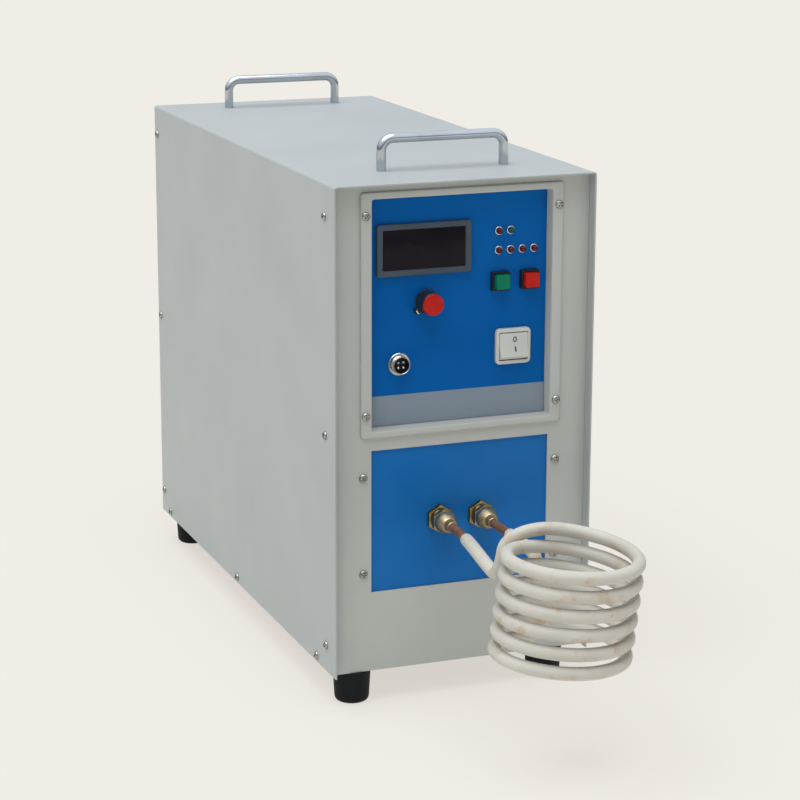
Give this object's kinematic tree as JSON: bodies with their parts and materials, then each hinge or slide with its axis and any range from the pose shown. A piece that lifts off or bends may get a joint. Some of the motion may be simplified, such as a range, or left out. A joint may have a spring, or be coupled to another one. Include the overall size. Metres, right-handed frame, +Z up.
{
  "type": "induction heating machine",
  "caption": "Upright bench-top induction heater: sheet-metal case on rubber feet, handles, front controls and a sleeved water-cooled work coil.",
  "frame": {"origin": "on the floor, under the middle of the whole machine with its coil", "axes": "+Z up, front and coil towards -Y, +X to the right seen from the front"},
  "size_m": [0.2548, 0.8598, 0.5147],
  "materials": {
    "case_grey": "satin powder coat",
    "frame_grey": "satin powder coat",
    "plate_blue": "matt printed film",
    "board_blue": "matt film on insulating board",
    "strip_grey": "matt printed film",
    "nickel": "nickel plated",
    "chrome": "polished",
    "foot_rubber": "moulded",
    "slate_plastic": "satin",
    "window": "tinted, glossy",
    "red_lens": "translucent",
    "green_lens": "translucent",
    "cap_red": "glossy",
    "cap_green": "glossy",
    "black_plastic": "fine grain",
    "rocker_grey": "satin",
    "brass": "dull",
    "copper": "oxidised copper",
    "sleeve": "matt silicone and glass sleeve",
    "ferrite": "matt",
    "capacitor": "sleeved",
    "aluminium": "milled",
    "circuit_board": "solder mask",
    "hose": "smooth"
  },
  "bodies": {
    "machine": {"cover_shell": "case_grey", "base_pan": "case_grey", "front_panel": "frame_grey", "rear_panel": "case_grey", "inner_frame": "case_grey", "control_bezel": "frame_grey", "control_plate": "plate_blue", "title_strip": "strip_grey", "terminal_board": "board_blue", "bezel_screws": "nickel", "board_screws": "nickel", "cover_screws": "nickel", "handle_front": "chrome", "handle_rear": "chrome", "handle_screws": "nickel", "foot_front_left": "foot_rubber", "foot_front_right": "foot_rubber", "foot_rear_left": "foot_rubber", "foot_rear_right": "foot_rubber", "foot_screws": "nickel", "meter_frame": "slate_plastic", "meter_window": "window", "meter_housing": "black_plastic", "lamp_holders": "chrome", "red_lenses": "red_lens", "green_lens": "green_lens", "start_switch": "black_plastic", "stop_switch": "black_plastic", "pot_body": "black_plastic", "rocker_frame": "rocker_grey", "socket_shell": "chrome", "socket_insert": "black_plastic", "socket_pins": "nickel", "fitting_left": "brass", "fitting_right": "brass", "lock_nuts": "brass", "flare_nut_left": "brass", "flare_nut_right": "brass", "coil_tube": "copper", "coil_sleeve": "sleeve", "transformer_core": "ferrite", "transformer_winding": "copper", "tank_capacitors": "capacitor", "cold_plate": "aluminium", "power_modules": "black_plastic", "filter_capacitors": "capacitor", "control_board": "circuit_board", "fan_frame": "black_plastic", "fan_guard": "chrome", "water_fittings": "brass", "water_hoses": "hose", "cable_gland": "black_plastic", "earth_stud": "brass"},
    "start_button": {"start_cap": "cap_green"},
    "stop_button": {"stop_cap": "cap_red"},
    "power_knob": {"knob_body": "black_plastic", "knob_cap": "cap_red", "pot_shaft": "nickel"},
    "rocker": {"rocker_key": "rocker_grey"},
    "fan": {"fan_rotor": "black_plastic"}
  },
  "joints": [
    {"name": "start_press", "type": "slide", "parent": "machine", "child": "start_button", "axis": [0, 1, 0], "range_m": [0, 0.003], "stiffness_N_per_m": 400, "springref_m": -0.001},
    {"name": "stop_press", "type": "slide", "parent": "machine", "child": "stop_button", "axis": [0, 1, 0], "range_m": [0, 0.003], "stiffness_N_per_m": 400, "springref_m": -0.001},
    {"name": "knob_turn", "type": "hinge", "parent": "machine", "child": "power_knob", "pos_m": [-0.0315, -0.15435, 0.3705], "axis": [0, 1, 0], "range_deg": [-22, 278]},
    {"name": "rocker_tilt", "type": "hinge", "parent": "machine", "child": "rocker", "pos_m": [0.0524, -0.15335, 0.3237], "axis": [1, 0, 0], "range_deg": [0, 22]},
    {"name": "fan_spin", "type": "hinge", "parent": "machine", "child": "fan", "pos_m": [0, 0.38345, 0.341], "axis": [0, 1, 0], "continuous": true}
  ]
}
